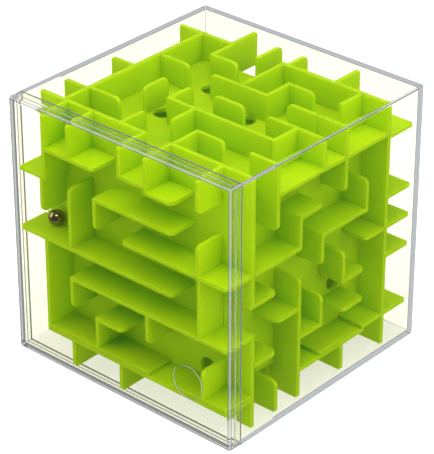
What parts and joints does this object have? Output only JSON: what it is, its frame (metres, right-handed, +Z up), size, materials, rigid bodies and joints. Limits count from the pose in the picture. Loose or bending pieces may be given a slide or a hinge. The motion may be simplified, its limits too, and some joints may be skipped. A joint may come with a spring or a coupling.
{
  "type": "tilt maze cube",
  "caption": "Handheld tilt maze: a clear cube-shaped case with a press-fit lid round a core of walled maze panels, with a loose steel ball that rolls along the corridors.",
  "frame": {"origin": "centre of the case's underside", "axes": "+Z up; -Y out of the lid's face; +X to the right when the lid faces the viewer"},
  "size_m": [0.08, 0.08, 0.08],
  "materials": {
    "clear_polystyrene": "clear, polished",
    "green_plastic": "slightly translucent lime green, satin gloss",
    "steel": "polished"
  },
  "bodies": {
    "case": {"case_body": "clear_polystyrene", "panel_front": "green_plastic", "panel_right": "green_plastic", "panel_top": "green_plastic", "panel_back": "green_plastic", "panel_left": "green_plastic", "panel_bottom": "green_plastic"},
    "lid": {"case_lid": "clear_polystyrene"},
    "ball": {"ball": "steel"}
  },
  "joints": [
    {"name": "lid_slide", "type": "slide", "parent": "case", "child": "lid", "axis": [0, -1, 0], "range_m": [0, 0.03]},
    {"name": "ball_slide", "type": "slide", "parent": "case", "child": "ball", "axis": [1, 0, 0], "range_m": [-0.0055, 0.0083]}
  ]
}
